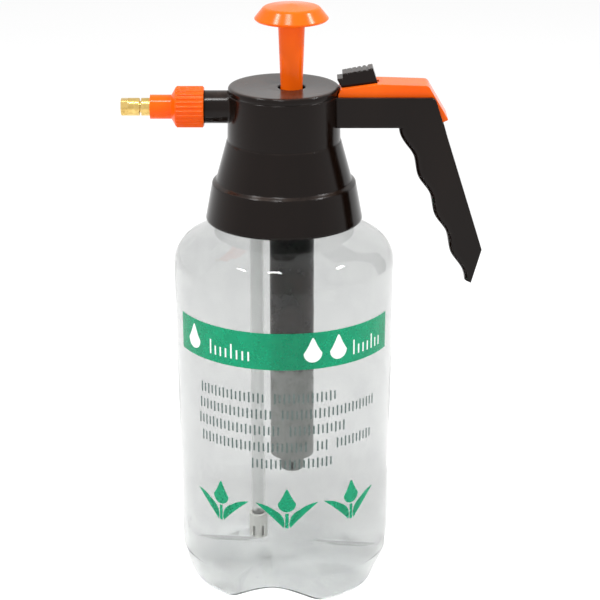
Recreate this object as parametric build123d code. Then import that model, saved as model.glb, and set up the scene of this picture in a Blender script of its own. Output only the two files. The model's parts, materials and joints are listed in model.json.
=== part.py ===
from build123d import *
import os
from math import hypot, pi, sin

# Hand pump sprayer of about one litre: a clear bottle on four feet, and a screw-on head with a
# piston pump, a thumb lever over a pistol grip, and an adjustable brass nozzle.
# Millimetres. Origin on the bottle's axis in the plane that it stands on, +Z up.
# The nozzle points along -X and the grip is at +X. The pump's axis is a little towards the grip.

# Clearances
RUNNING = 0.05  # radial, of a pin or piston in its bore
FREE = 0.3  # between pieces that move past each other
LOOSE = 0.4  # between the threads, so that the head lifts off

# Bottle
BODY_RADIUS = 51.1
BODY_TAPER = 1.8  # the body is this much narrower at the top of its base
BASE_HEIGHT = 16.0
FOOT_INSET = 6.6  # of the foot's corner, from the body's side
FOOT_ROUNDING = 8.0
FOOT_TURN = -3.0  # degrees about the axis
VALLEY_RADIUS = 24.0  # the two crossing hollows that leave four feet
VALLEY_DEPTH = 12.0
BODY_HEIGHT = 164.8  # where the side and the sloping shoulder would meet
SHOULDER_SLOPE = 0.55
SHOULDER_ROUNDING = 13.0
BOTTLE_WALL = 1.2
NECK_RADIUS = 28.5
NECK_WALL = 1.6
NECK_HEIGHT = 15.8
NECK_ROUNDING = 2.5
THREAD_DEPTH = 1.2
THREAD_PITCH = 5.0
THREAD_WIDTH = 2.4
THREAD_DROP = 4.5  # from the mouth to the middle of the first ridge

# Head housing
GASKET_THICKNESS = 2.0
GASKET_WIDTH = 4.2
DECK_THICKNESS = 2.6
SKIRT_DEPTH = 15.2  # below the bottle's mouth
SKIRT_WALL = 2.3
SKIRT_FLARE = 3.2
SKIRT_LIP = 2.0
LEDGE_WIDTH = 1.8
LEDGE_HEIGHT = 1.3
RING_HEIGHT = 21.3  # of the small step, above the bottle's mouth
RING_OVERHANG = 0.9
RING_STEP = 0.5
UPPER_WALL = 2.0
HEAD_HEIGHT = 43.5  # of the housing's open top, above the bottle's mouth

# Pump
PUMP_X = 3.5
BARREL_RADIUS = 10.25
BARREL_WALL = 1.5
BARREL_LENGTH = 176.7
BARREL_FLOOR = 1.5
FLANGE_WIDTH = 1.45
FLANGE_HEIGHT = 2.0
GROOVE_DEPTH = 0.9
GROOVE_HEIGHT = 1.8
CAP_THICKNESS = 3.0
CAP_ROUNDING = 1.2
CAP_DISH = 0.6
CAP_PLUG = 1.2
GUIDE_DEPTH = 4.0
ROD_RADIUS = 5.0
ROD_TOP_RADIUS = 6.05
ROD_EXPOSED = 28.3  # of rod between the cap and the knob, at rest
KNOB_SOCKET = 5.0
KNOB_RADIUS = 16.75
KNOB_CROWN_RADIUS = 12.6
KNOB_RIM = 2.2  # the rim's height above the knob's lowest point
KNOB_CROWN = 7.8
KNOB_HEIGHT = 9.2
COLLAR_HEIGHT = 3.5
COLLAR_STROKE = 65.5  # from the collar up to the cap's guide
KNOB_GAP = 0.8  # left between the knob and the cap, fully down
PISTON_LENGTH = 10.0
PISTON_FLANGE = 2.5
CUP_DEPTH = 2.6
SCREW_RADIUS = 1.5
SCREW_HEAD = 3.3

# Check valve below the barrel
STEP_RADIUS = 7.0
STEP_HEIGHT = 2.2
CAGE_RADIUS = 5.45
CAGE_HEIGHT = 6.2
CAGE_WALL = 1.2
DISC_RADIUS = 3.6
DISC_THICKNESS = 0.8
DISC_STEM = 1.1
PORT_RADIUS = 0.6
PORT_COUNT = 4

# Spray valve, on the nozzle's axis
NOZZLE_DROP = 6.7  # below the housing's open top
GLAND_LENGTH = 2.2
GLAND_LIP = 0.6
GLAND_RADIUS = 2.9
CHAMBER_RADIUS = 3.4
CHAMBER_OUTER = 5.2
SEAT_LENGTH = 2.6
SEAT_INSET = 1.2  # from the housing's outer wall
SEAT_HOLE = 2.3
SPIGOT_BORE = 3.9
SPIGOT_RADIUS = 7.45
SPIGOT_LENGTH = 10.8
SPIGOT_THREAD = 6.5
SPIGOT_THREAD_LENGTH = 10.0
STEM_RADIUS = 1.5
SEAL_RADIUS = 3.4
SEAL_THICKNESS = 1.5
STEM_HEAD = 1.0
VALVE_TRAVEL = 1.4
YOKE_WALL = 2.5
YOKE_THICKNESS = 4.0
YOKE_TAIL_DROP = 11.0
YOKE_TAIL_WIDTH = 10.0
SPRING_RADIUS = 2.9
SPRING_WIRE = 0.3
SPRING_TURNS = 9

# Suction
DIP_RADIUS = 3.0
DIP_BORE = 2.0
DIP_INSERT = 6.0
DIP_GAP = 2.5  # from the filter to the bottle's floor
SOCKET_RADIUS = 4.3
SOCKET_HEIGHT = 8.4
CHANNEL_RADIUS = 1.7
COLUMN_RADIUS = 3.2
FILTER_RADIUS = 4.4
FILTER_HEIGHT = 12.0
FILTER_WALL = 0.8
FILTER_SLOTS = 6
FILTER_SLOT = 1.2

# Nozzle
NUT_RADIUS = 8.9
NUT_RIB = 0.45
NUT_RIBS = 28
NUT_LENGTH = 12.8
NUT_CONE = 1.9
NUT_NECK_RADIUS = 5.5
NUT_NECK_LENGTH = 9.6
BRASS_RADIUS = 4.05
FLANGE_RADIUS = 6.0
SPIGOT_GASKET = 1.2
BRASS_FLANGE = 1.5
BRASS_COLLAR = 4.0  # of brass showing in front of the nut
BRASS_BORE = 1.4
TIP_GAP = 0.7
STUB_RADIUS = 2.6
STUB_LENGTH = 6.2
TIP_GROOVE_DEPTH = 0.45  # for the seal inside the tip
TIP_GROOVE_WIDTH = 1.2
TIP_LENGTH = 8.5
TIP_WALL = 1.6
TIP_FLATS = 3.75  # from the axis to each of the six flats
TIP_FLAT_LENGTH = 3.2
ORIFICE = 0.4
CORE_RADIUS = 1.0
CORE_LENGTH = 5.0

# Arm and grip. Corners are given from the head's wall and from the housing's open top.
ARM_DROP = 14.0
CHEEK = 2.0
CHEEK_GAP = 0.5
CHANNEL_DROP = 10.0  # of the lever's channel below the arm's rim
RIM_DROP = 0.3
GRIP_TOP = 42.6
GRIP_HEEL = (65.3, -71.5)
GRIP_TIP = (60.8, -87.5)
GRIP_FRONT_TOP = (26.6, -ARM_DROP)
GRIP_FRONT_END = (57.8, -86.5)
GRIP_WAVES = 4
GRIP_WAVE = 0.9
GRIP_EDGE = 3.0
HEEL_ROUNDING = 2.5

# Thumb lever and its lock, in the same way
LEVER_WIDTH = 15.0
LEVER_WALL = 1.7
LEVER_FRONT = -1.0
LEVER_TOP_FRONT = (0.4, 3.1)
LEVER_PEAK = (17.3, 5.4)
LEVER_REAR = (39.6, 4.7)
LEVER_DROOP = (48.8, -10.9)
LEVER_DROOP_INNER = (45.4, -12.4)
LEVER_SKIRT = -3.0
DROOP_TRAVEL = 6.5  # room below the lever's rear end
DROOP_ROOM = 2.2  # and in front of it
PIVOT = (4.8, -4.0)
PIN_RADIUS = 1.25
HUB_RADIUS = 3.4
FINGER_WIDTH = 6.6
FINGER_THICKNESS = 3.0
FINGER_ROOM = 1.65  # behind the finger, to the head's wall
FINGER_DROP = 12.0
LOCK_WIDTH = 9.0
LOCK_HEIGHT = 6.6
LOCK_LENGTH = 16.6
LOCK_LEAN = 2.5
LOCK_STEP = 2.7
LOCK_STEP_DROP = 2.0
LOCK_GROOVES = 5
LOCK_GROOVE = 0.5
KEEL_START = 10.0
KEEL_LENGTH = 3.0
KEEL_WIDTH = 3.0
KEEL_FOOT = 6.0
LOCK_TRAVEL = 4.0

# Heights and radii that follow from these
FOOT_RADIUS = BODY_RADIUS - FOOT_INSET
SHOULDER_TOP = BODY_HEIGHT + (BODY_RADIUS - NECK_RADIUS) * SHOULDER_SLOPE
MOUTH = SHOULDER_TOP + NECK_HEIGHT
MOUTH_RADIUS = NECK_RADIUS - NECK_WALL
FLOOR = VALLEY_DEPTH + BOTTLE_WALL
DECK = MOUTH + GASKET_THICKNESS
DECK_TOP = DECK + DECK_THICKNESS
THREAD_RADIUS = NECK_RADIUS + THREAD_DEPTH
SKIRT_INNER = THREAD_RADIUS + 2 * LOOSE
RING = MOUTH + RING_HEIGHT
TOP = MOUTH + HEAD_HEIGHT
YOKE_INNER = BARREL_RADIUS + FREE
YOKE_FRONT = PUMP_X - YOKE_INNER - YOKE_WALL
YOKE_SPAN = VALVE_TRAVEL + FREE
YOKE_BACK = PUMP_X + YOKE_INNER + YOKE_SPAN
FINGER_FRONT = YOKE_BACK + YOKE_WALL + FREE
UPPER_INNER = FINGER_FRONT + FINGER_THICKNESS + FINGER_ROOM
UPPER_RADIUS = UPPER_INNER + UPPER_WALL
RING_RADIUS = UPPER_RADIUS + RING_OVERHANG
CAP_TOP = TOP + CAP_THICKNESS
BARREL_BORE = BARREL_RADIUS - BARREL_WALL
BARREL_BASE = TOP - BARREL_LENGTH
BARREL_INSIDE = BARREL_BASE + BARREL_FLOOR
ROD_HOLE = ROD_TOP_RADIUS + FREE
KNOB_BASE = CAP_TOP + ROD_EXPOSED
PISTON_STROKE = ROD_EXPOSED - KNOB_GAP
PISTON = BARREL_INSIDE + DISC_THICKNESS + STEM_HEAD + PISTON_STROKE
COLLAR_TOP = TOP - GUIDE_DEPTH - COLLAR_STROKE
NOZZLE_HEIGHT = TOP - NOZZLE_DROP
CHAMBER_START = YOKE_SPAN - YOKE_FRONT
GLAND_END = CHAMBER_START + GLAND_LENGTH
SEAT_END = UPPER_RADIUS - SEAT_INSET
SEAT_START = SEAT_END - SEAT_LENGTH
SPIGOT_SHOULDER = UPPER_RADIUS + SPIGOT_LENGTH
SPIGOT_END = SPIGOT_SHOULDER + SPIGOT_THREAD_LENGTH
CHANNEL_X = -(GLAND_END + CHANNEL_RADIUS)
DIP_X = PUMP_X - BARREL_RADIUS - FLANGE_WIDTH - FREE - SOCKET_RADIUS
ARM_WIDTH = LEVER_WIDTH + 2 * (CHEEK + CHEEK_GAP)
PIVOT_X = UPPER_RADIUS + PIVOT[0]
PIVOT_HEIGHT = TOP + PIVOT[1]
NUT_START = SPIGOT_SHOULDER
NUT_CONE_START = NUT_START + NUT_LENGTH
NUT_NECK_START = NUT_CONE_START + NUT_CONE
NUT_END = NUT_NECK_START + NUT_NECK_LENGTH
BRASS_START = SPIGOT_END + SPIGOT_GASKET
BRASS_END = NUT_END + BRASS_COLLAR
TIP_START = BRASS_END + TIP_GAP
TIP_END = TIP_START + TIP_LENGTH
STUB_END = BRASS_END + STUB_LENGTH
TIP_GROOVE_START = TIP_START + (TIP_LENGTH - TIP_WALL) / 3
TIP_GROOVE_END = TIP_GROOVE_START + TIP_GROOVE_WIDTH

PUMP = Pos(PUMP_X, 0, 0)
NOZZLE = Plane(origin=(0, 0, NOZZLE_HEIGHT), x_dir=(0, 1, 0), z_dir=(-1, 0, 0))
BASE_UP = (Align.CENTER, Align.CENTER, Align.MIN)
CORNER_UP = (Align.MIN, Align.MIN, Align.MIN)


def outline(*corners):
    """A closed face in the XZ plane, from corners given as (x, z) or (x, z, rounding)."""
    points = [(corner[0], 0, corner[1]) for corner in corners]
    roundings = [corner[2] if len(corner) > 2 else 0 for corner in corners]
    return make_face(FilletPolyline(*points, radius=roundings, close=True))


def turned(*corners):
    """A solid turned about the Z axis from half of its section, given as (radius, height)."""
    return revolve(outline(*corners), axis=Axis.Z)


def plate(width, *corners):
    """A flat piece across y = 0, from its side outline."""
    return extrude(outline(*corners), amount=width / 2, both=True)


def bar(radius, bottom, top):
    return Pos(0, 0, bottom) * Cylinder(radius, top - bottom, align=BASE_UP)


def tube(outer, inner, bottom, top):
    return bar(outer, bottom, top) - bar(inner, bottom, top)


def block(low, high):
    size = [b - a for a, b in zip(low, high)]
    return Pos(*low) * Box(*size, align=CORNER_UP)


def cross_bar(radius, length, x, z):
    """A round bar along Y, centred on y = 0."""
    return Pos(x, 0, z) * Rot(90, 0, 0) * Cylinder(radius, length)


def from_wall(*corners):
    """Corners given from the head's wall and the housing's open top, as absolute corners."""
    return [(UPPER_RADIUS + corner[0], TOP + corner[1], *corner[2:]) for corner in corners]


# Bottle


def bottle_form(inset, neck_radius):
    """The bottle's outside for an inset of 0, and the space inside it for an inset of its wall."""
    slope_drop = inset * hypot(1, SHOULDER_SLOPE)
    side = BODY_RADIUS - inset
    shoulder = BODY_HEIGHT + inset * SHOULDER_SLOPE - slope_drop
    neck = SHOULDER_TOP + (NECK_RADIUS - neck_radius) * SHOULDER_SLOPE - slope_drop
    form = turned(
        (0, inset),
        (FOOT_RADIUS - inset, inset, FOOT_ROUNDING - inset),
        (BODY_RADIUS - BODY_TAPER - inset, BASE_HEIGHT),
        (side, shoulder, SHOULDER_ROUNDING - inset),
        (neck_radius, neck, NECK_ROUNDING + inset),
        (neck_radius, MOUTH),
        (0, MOUTH),
    )
    valley = cross_bar(VALLEY_RADIUS + inset, 2 * BODY_RADIUS, 0, VALLEY_DEPTH - VALLEY_RADIUS)
    form -= Rot(0, 0, FOOT_TURN) * valley
    form -= Rot(0, 0, FOOT_TURN + 90) * valley
    return form


def thread_ridge(root, crest, height):
    """A ring ridge on a thread's root radius, standing to its crest radius."""
    half = THREAD_WIDTH / 2
    tip = half / 2
    return turned((root, height - half), (crest, height - tip), (crest, height + tip), (root, height + half))


def bottle():
    solid = bottle_form(0, NECK_RADIUS)
    for step in range(2):
        height = MOUTH - THREAD_DROP - step * THREAD_PITCH
        solid += thread_ridge(NECK_RADIUS - NECK_WALL / 2, THREAD_RADIUS, height)
    return solid - bottle_form(BOTTLE_WALL, MOUTH_RADIUS)


# Head


def head_envelope():
    """The head's outer shape, filled."""
    skirt = SKIRT_INNER + SKIRT_WALL
    return turned(
        (0, MOUTH - SKIRT_DEPTH),
        (skirt + SKIRT_FLARE, MOUTH - SKIRT_DEPTH, 0.5),
        (skirt, DECK, 0.8),
        (skirt - LEDGE_WIDTH, DECK + LEDGE_HEIGHT, 0.5),
        (RING_RADIUS, RING, 0.3),
        (UPPER_RADIUS + RING_STEP, RING + RING_STEP),
        (UPPER_RADIUS, TOP),
        (0, TOP),
    )


def head_housing():
    bottom = MOUTH - SKIRT_DEPTH
    inner_skirt = turned(
        (0, bottom - 1),
        (SKIRT_INNER + SKIRT_FLARE, bottom - 1),
        (SKIRT_INNER + SKIRT_FLARE, bottom),
        (SKIRT_INNER, bottom + SKIRT_LIP * 2),
        (SKIRT_INNER, DECK),
        (0, DECK),
    )
    chamber = turned(
        (0, DECK_TOP),
        (SKIRT_INNER - SKIRT_WALL, DECK_TOP),
        (UPPER_INNER, RING - RING_STEP),
        (UPPER_INNER, TOP + 1),
        (0, TOP + 1),
    )
    spigot = bar(SPIGOT_RADIUS, UPPER_INNER, SPIGOT_SHOULDER) + bar(SPIGOT_THREAD, UPPER_INNER, SPIGOT_END)
    spigot = NOZZLE * spigot - bar(UPPER_RADIUS, TOP, CAP_TOP) - bar(UPPER_INNER, RING, CAP_TOP)
    solid = head_envelope() - inner_skirt - chamber + spigot
    solid += thread_ridge(SKIRT_INNER + SKIRT_WALL / 2, THREAD_RADIUS + LOOSE, MOUTH - THREAD_DROP - THREAD_PITCH / 2)
    solid -= NOZZLE * bar(SPIGOT_BORE, UPPER_INNER - UPPER_WALL, SPIGOT_END)
    solid -= PUMP * bar(BARREL_RADIUS + RUNNING, DECK - 1, DECK_TOP + 1)
    solid -= Pos(DIP_X, 0, 0) * bar(DIP_RADIUS + RUNNING, DECK - 1, DECK_TOP + 1)
    slot = FINGER_WIDTH / 2 + FREE
    solid -= block((PUMP_X + BARREL_RADIUS, -slot, TOP - CHANNEL_DROP - 2), (RING_RADIUS + 1, slot, TOP + 1))
    return solid


def bottle_gasket():
    return tube(NECK_RADIUS - RUNNING, NECK_RADIUS - GASKET_WIDTH, MOUTH, DECK)


def pump_cap():
    solid = turned(
        (0, TOP),
        (UPPER_RADIUS, TOP),
        (UPPER_RADIUS, CAP_TOP, CAP_ROUNDING),
        (UPPER_RADIUS - 2 * CAP_ROUNDING, CAP_TOP, CAP_ROUNDING),
        (ROD_HOLE + 1, CAP_TOP - CAP_DISH),
        (0, CAP_TOP - CAP_DISH),
    )
    solid += tube(UPPER_INNER - RUNNING, UPPER_INNER - UPPER_WALL, TOP - CAP_PLUG, TOP)
    solid += PUMP * bar(BARREL_BORE - RUNNING, TOP - GUIDE_DEPTH, TOP)
    return solid - PUMP * bar(ROD_HOLE, TOP - GUIDE_DEPTH - 1, CAP_TOP + 1)


# Pump


def pump_barrel():
    step = BARREL_BASE - STEP_HEIGHT
    solid = bar(BARREL_RADIUS, BARREL_BASE, TOP) + bar(STEP_RADIUS, step, BARREL_BASE)
    solid += bar(BARREL_RADIUS + FLANGE_WIDTH, DECK_TOP, DECK_TOP + FLANGE_HEIGHT)
    solid -= bar(BARREL_BORE, BARREL_INSIDE, TOP)
    middle = (DECK + DECK_TOP) / 2
    solid -= tube(
        BARREL_RADIUS, BARREL_RADIUS - GROOVE_DEPTH, middle - GROOVE_HEIGHT / 2, middle + GROOVE_HEIGHT / 2
    )
    solid -= bar(CAGE_RADIUS - CAGE_WALL / 2, step, BARREL_BASE)
    solid -= bar(DISC_STEM + RUNNING, BARREL_BASE, BARREL_INSIDE)
    port = bar(PORT_RADIUS, BARREL_BASE, BARREL_INSIDE)
    for place in PolarLocations(DISC_RADIUS - 2 * PORT_RADIUS, PORT_COUNT):
        solid -= place * port
    return PUMP * solid


def barrel_o_ring():
    middle = (DECK + DECK_TOP) / 2
    ring = tube(
        BARREL_RADIUS + RUNNING, BARREL_RADIUS - GROOVE_DEPTH, middle - GROOVE_HEIGHT / 2, middle + GROOVE_HEIGHT / 2
    )
    return PUMP * ring


def check_valve():
    bulb = BARREL_INSIDE + STEM_HEAD
    solid = bar(DISC_RADIUS, BARREL_BASE - DISC_THICKNESS, BARREL_BASE)
    solid += bar(DISC_STEM, BARREL_BASE, BARREL_INSIDE)
    solid += turned((0, BARREL_INSIDE), (DISC_STEM * 1.5, BARREL_INSIDE), (DISC_STEM / 2, bulb), (0, bulb))
    return PUMP * solid


def valve_cage():
    collar = BARREL_BASE - STEP_HEIGHT
    bottom = collar - CAGE_HEIGHT
    neck_top = BARREL_BASE - DISC_THICKNESS - FREE
    solid = turned(
        (0, bottom),
        (CAGE_RADIUS, bottom, 1.2),
        (CAGE_RADIUS, collar),
        (CAGE_RADIUS - CAGE_WALL / 2, collar),
        (CAGE_RADIUS - CAGE_WALL / 2, neck_top),
        (0, neck_top),
    )
    solid -= bar(CAGE_RADIUS - 2 * CAGE_WALL, bottom + CAGE_WALL, neck_top)
    slot = CAGE_WALL / 2
    solid -= block((-CAGE_RADIUS, -slot, bottom + CAGE_WALL), (CAGE_RADIUS, slot, collar - CAGE_WALL))
    solid -= block((-slot, -CAGE_RADIUS, bottom + CAGE_WALL), (slot, CAGE_RADIUS, collar - CAGE_WALL))
    return PUMP * solid


def knob():
    socket = KNOB_BASE + KNOB_SOCKET
    solid = turned(
        (0, KNOB_BASE),
        (ROD_TOP_RADIUS + 1, KNOB_BASE, 0.5),
        (KNOB_RADIUS - 0.9, KNOB_BASE + KNOB_RIM - 0.5, 0.3),
        (KNOB_RADIUS, KNOB_BASE + KNOB_RIM + 0.4, 0.4),
        (KNOB_CROWN_RADIUS, KNOB_BASE + KNOB_CROWN, 2.5),
        (0, KNOB_BASE + KNOB_HEIGHT),
    )
    return PUMP * (solid - bar(ROD_RADIUS, KNOB_BASE, socket))


def pump_rod():
    seat = PISTON + PISTON_LENGTH
    stub = PISTON + PISTON_FLANGE + 2
    solid = turned(
        (0, stub),
        (SCREW_RADIUS * 2, stub),
        (SCREW_RADIUS * 2, seat),
        (ROD_RADIUS, seat),
        (ROD_RADIUS, COLLAR_TOP - COLLAR_HEIGHT),
        (BARREL_BORE - FREE, COLLAR_TOP - COLLAR_HEIGHT, 0.5),
        (BARREL_BORE - FREE, COLLAR_TOP, 0.5),
        (ROD_RADIUS, COLLAR_TOP),
        (ROD_RADIUS, CAP_TOP),
        (ROD_TOP_RADIUS, KNOB_BASE),
        (ROD_RADIUS, KNOB_BASE),
        (ROD_RADIUS, KNOB_BASE + KNOB_SOCKET),
        (0, KNOB_BASE + KNOB_SOCKET),
    )
    return PUMP * (solid - bar(SCREW_RADIUS, stub, seat))


def piston():
    top = PISTON + PISTON_LENGTH
    radius = BARREL_BORE - 2 * RUNNING
    solid = bar(radius, PISTON, top)
    solid -= tube(radius, radius - CUP_DEPTH, PISTON + PISTON_FLANGE, top - PISTON_FLANGE)
    solid -= bar(SCREW_HEAD + FREE, PISTON, PISTON + PISTON_FLANGE)
    solid -= bar(SCREW_RADIUS, PISTON, top)
    solid -= bar(SCREW_RADIUS * 2, PISTON + PISTON_FLANGE + 2, top)
    return PUMP * solid


def piston_cup():
    root = BARREL_BORE - 2 * RUNNING - CUP_DEPTH
    lip = BARREL_BORE - RUNNING
    bottom = PISTON + PISTON_FLANGE
    top = PISTON + PISTON_LENGTH - PISTON_FLANGE
    third = (lip - root) / 3
    solid = tube(lip, root, bottom, top)
    groove = tube(lip - third, root + third, bottom, bottom + (top - bottom) / 2)
    return PUMP * (solid - groove)


def piston_screw():
    head = PISTON + PISTON_FLANGE
    solid = bar(SCREW_RADIUS, head, PISTON + PISTON_LENGTH) + bar(SCREW_HEAD, head - 2, head)
    slot = SCREW_RADIUS / 3
    solid -= block((-SCREW_HEAD, -slot, head - 2), (SCREW_HEAD, slot, head - 1))
    return PUMP * solid


# Suction and spray valve


def valve_housing():
    wall = UPPER_INNER + UPPER_WALL
    solid = NOZZLE * bar(CHAMBER_OUTER, CHAMBER_START, wall)
    solid += Pos(CHANNEL_X, 0, 0) * bar(COLUMN_RADIUS, DECK_TOP, NOZZLE_HEIGHT)
    solid += Pos(DIP_X, 0, 0) * bar(SOCKET_RADIUS, DECK_TOP, DECK_TOP + SOCKET_HEIGHT)
    solid &= bar(UPPER_INNER, DECK_TOP, TOP)
    solid -= NOZZLE * bar(STEM_RADIUS + RUNNING, CHAMBER_START, GLAND_END)
    solid -= NOZZLE * bar(GLAND_RADIUS, CHAMBER_START + GLAND_LIP, GLAND_END)
    solid -= NOZZLE * bar(CHAMBER_RADIUS, GLAND_END, SEAT_START)
    solid -= NOZZLE * bar(SPIGOT_BORE, SEAT_START, wall)
    solid -= Pos(CHANNEL_X, 0, 0) * bar(CHANNEL_RADIUS, DECK_TOP + DIP_INSERT, NOZZLE_HEIGHT)
    return solid - Pos(DIP_X, 0, 0) * bar(DIP_RADIUS, DECK_TOP, DECK_TOP + DIP_INSERT)


def gland_o_ring():
    return NOZZLE * tube(GLAND_RADIUS, STEM_RADIUS + RUNNING, CHAMBER_START + GLAND_LIP, GLAND_END)


def valve_seat():
    return NOZZLE * tube(SPIGOT_BORE, SEAT_HOLE, SEAT_START, SEAT_END)


def valve_seal():
    start = SEAT_END + RUNNING
    return NOZZLE * tube(SEAL_RADIUS, STEM_RADIUS, start, start + SEAL_THICKNESS)


def yoke_ring(radius, low, high):
    """A slot-shaped block round the barrel, long enough along X for the valve's travel."""
    shape = SlotCenterToCenter(YOKE_SPAN, 2 * radius)
    return Pos(PUMP_X + YOKE_SPAN / 2, 0, low) * extrude(shape, amount=high - low)


def valve_stem():
    low = NOZZLE_HEIGHT - YOKE_THICKNESS / 2
    high = NOZZLE_HEIGHT + YOKE_THICKNESS / 2
    head = SEAT_END + RUNNING + SEAL_THICKNESS
    back = YOKE_BACK + YOKE_WALL
    solid = yoke_ring(YOKE_INNER + YOKE_WALL, low, high) - yoke_ring(YOKE_INNER, low, high)
    half = YOKE_TAIL_WIDTH / 2
    tail = block((YOKE_BACK - YOKE_WALL, -half, NOZZLE_HEIGHT - YOKE_TAIL_DROP), (back, half, high))
    solid += tail - yoke_ring(YOKE_INNER, NOZZLE_HEIGHT - YOKE_TAIL_DROP, high)
    solid += NOZZLE * bar(STEM_RADIUS, -YOKE_FRONT - YOKE_WALL / 2, head)
    solid += NOZZLE * bar(SEAL_RADIUS - FREE, head, head + STEM_HEAD)
    return solid


def valve_spring():
    start = SEAT_END + RUNNING + SEAL_THICKNESS + STEM_HEAD + SPRING_WIRE
    end = SPIGOT_END - SPRING_WIRE
    coil = Helix(pitch=(end - start) / SPRING_TURNS, height=end - start, radius=SPRING_RADIUS, center=(0, 0, start))
    section = Plane(origin=coil @ 0, z_dir=coil % 0) * Circle(SPRING_WIRE)
    return NOZZLE * sweep(section, path=coil, is_frenet=True)


def dip_tube():
    return Pos(DIP_X, 0, 0) * tube(DIP_RADIUS, DIP_BORE, FLOOR + DIP_GAP + FILTER_WALL, DECK_TOP + DIP_INSERT)


def dip_filter():
    bottom = FLOOR + DIP_GAP
    solid = bar(FILTER_RADIUS, bottom, bottom + FILTER_HEIGHT)
    solid -= bar(DIP_RADIUS, bottom + FILTER_WALL, bottom + FILTER_HEIGHT)
    slot = FILTER_SLOT / 2
    cut = block((DIP_RADIUS - 1, -slot, bottom + FILTER_WALL), (FILTER_RADIUS + 1, slot, bottom + FILTER_HEIGHT / 2))
    for turn in range(FILTER_SLOTS):
        solid -= Rot(0, 0, turn * 360 / FILTER_SLOTS) * cut
    return Pos(DIP_X, 0, 0) * solid


# Nozzle


def nozzle_nut():
    solid = bar(NUT_RADIUS, NUT_START, NUT_CONE_START) + bar(NUT_NECK_RADIUS, NUT_CONE_START, NUT_END)
    solid += turned(
        (0, NUT_CONE_START),
        (NUT_RADIUS, NUT_CONE_START),
        (NUT_NECK_RADIUS, NUT_NECK_START),
        (0, NUT_NECK_START),
    )
    rib = bar(NUT_RIB, NUT_START + NUT_RIB, NUT_CONE_START - NUT_RIB)
    for place in PolarLocations(NUT_RADIUS, NUT_RIBS):
        solid += place * rib
    solid -= bar(SPIGOT_THREAD + RUNNING, NUT_START, BRASS_START + BRASS_FLANGE)
    return NOZZLE * (solid - bar(BRASS_RADIUS, NUT_START, NUT_END))


def spigot_gasket():
    return NOZZLE * tube(FLANGE_RADIUS, BRASS_BORE, SPIGOT_END, BRASS_START)


def nozzle_base():
    solid = bar(FLANGE_RADIUS, BRASS_START, BRASS_START + BRASS_FLANGE)
    solid += bar(BRASS_RADIUS, BRASS_START, BRASS_END) + bar(STUB_RADIUS, BRASS_END, STUB_END)
    return NOZZLE * (solid - bar(BRASS_BORE, BRASS_START, STUB_END))


def swirl_core():
    """A plug in the base's mouth with two flats, which leave the water its way past."""
    core = bar(BRASS_BORE, STUB_END - CORE_LENGTH, STUB_END)
    core -= block((CORE_RADIUS, -BRASS_BORE, STUB_END - CORE_LENGTH), (BRASS_BORE, BRASS_BORE, STUB_END))
    core -= block((-BRASS_BORE, -BRASS_BORE, STUB_END - CORE_LENGTH), (-CORE_RADIUS, BRASS_BORE, STUB_END))
    return NOZZLE * core


def tip_o_ring():
    bore = STUB_RADIUS + RUNNING
    return NOZZLE * tube(bore + TIP_GROOVE_DEPTH, bore, TIP_GROOVE_START + RUNNING, TIP_GROOVE_END - RUNNING)


def nozzle_tip():
    solid = turned(
        (0, TIP_START),
        (BRASS_RADIUS, TIP_START, 0.3),
        (BRASS_RADIUS, TIP_END, 0.5),
        (0, TIP_END),
    )
    jaws = bar(BRASS_RADIUS, TIP_END - TIP_FLAT_LENGTH, TIP_END)
    jaws -= Pos(0, 0, TIP_END - TIP_FLAT_LENGTH) * extrude(
        RegularPolygon(TIP_FLATS, 6, major_radius=False), amount=TIP_FLAT_LENGTH
    )
    solid -= jaws
    bore = STUB_RADIUS + 2 * RUNNING
    solid -= bar(bore, TIP_START, TIP_END - TIP_WALL)
    solid -= bar(bore + TIP_GROOVE_DEPTH, TIP_GROOVE_START, TIP_GROOVE_END)
    return NOZZLE * (solid - bar(ORIFICE, TIP_START, TIP_END))


# Arm, grip and lever


def grip_front():
    """The finger side's wave, from the arm down to the tip."""
    (x0, z0), (x1, z1) = from_wall(GRIP_FRONT_TOP, GRIP_FRONT_END)
    length = hypot(x1 - x0, z1 - z0)
    across = ((z1 - z0) / length, -(x1 - x0) / length)
    count = 4 * GRIP_WAVES
    points = []
    for step in range(count + 1):
        share = step / count
        reach = GRIP_WAVE * sin(2 * pi * GRIP_WAVES * share)
        points.append((x0 + (x1 - x0) * share + across[0] * reach, 0, z0 + (z1 - z0) * share + across[1] * reach))
    return Spline(*points)


def handle():
    front = grip_front()
    top, tip = front @ 0, front @ 1
    low = TOP - ARM_DROP
    rim = TOP - RIM_DROP
    (heel_x, heel_z), (tip_x, tip_z) = from_wall(GRIP_HEEL, GRIP_TIP)
    grip_top = UPPER_RADIUS + GRIP_TOP
    corners = [
        tip,
        (tip_x, 0, tip_z),
        (heel_x, 0, heel_z),
        (grip_top, 0, rim),
        (UPPER_INNER, 0, rim),
        (UPPER_INNER, 0, low),
        top,
    ]
    face = make_face([front, Polyline(*corners)])
    solid = extrude(face, amount=ARM_WIDTH / 2, both=True)
    back = solid.edges().filter_by(Axis.Y)
    corner = [edge for edge in back if hypot((edge @ 0).X - grip_top, (edge @ 0).Z - rim) < RUNNING]
    solid = fillet(corner, HEEL_ROUNDING)
    solid = fillet([edge for edge in solid.edges() if on_front(edge)], GRIP_EDGE)
    solid -= head_envelope()
    return solid - lever_channel() - cross_bar(PIN_RADIUS, ARM_WIDTH - CHEEK, PIVOT_X, PIVOT_HEIGHT)


def on_front(edge):
    """Whether an edge runs along the finger side of the grip."""
    return edge.geom_type == GeomType.BSPLINE and abs(abs((edge @ 0.5).Y) - ARM_WIDTH / 2) < 0.01


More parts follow.
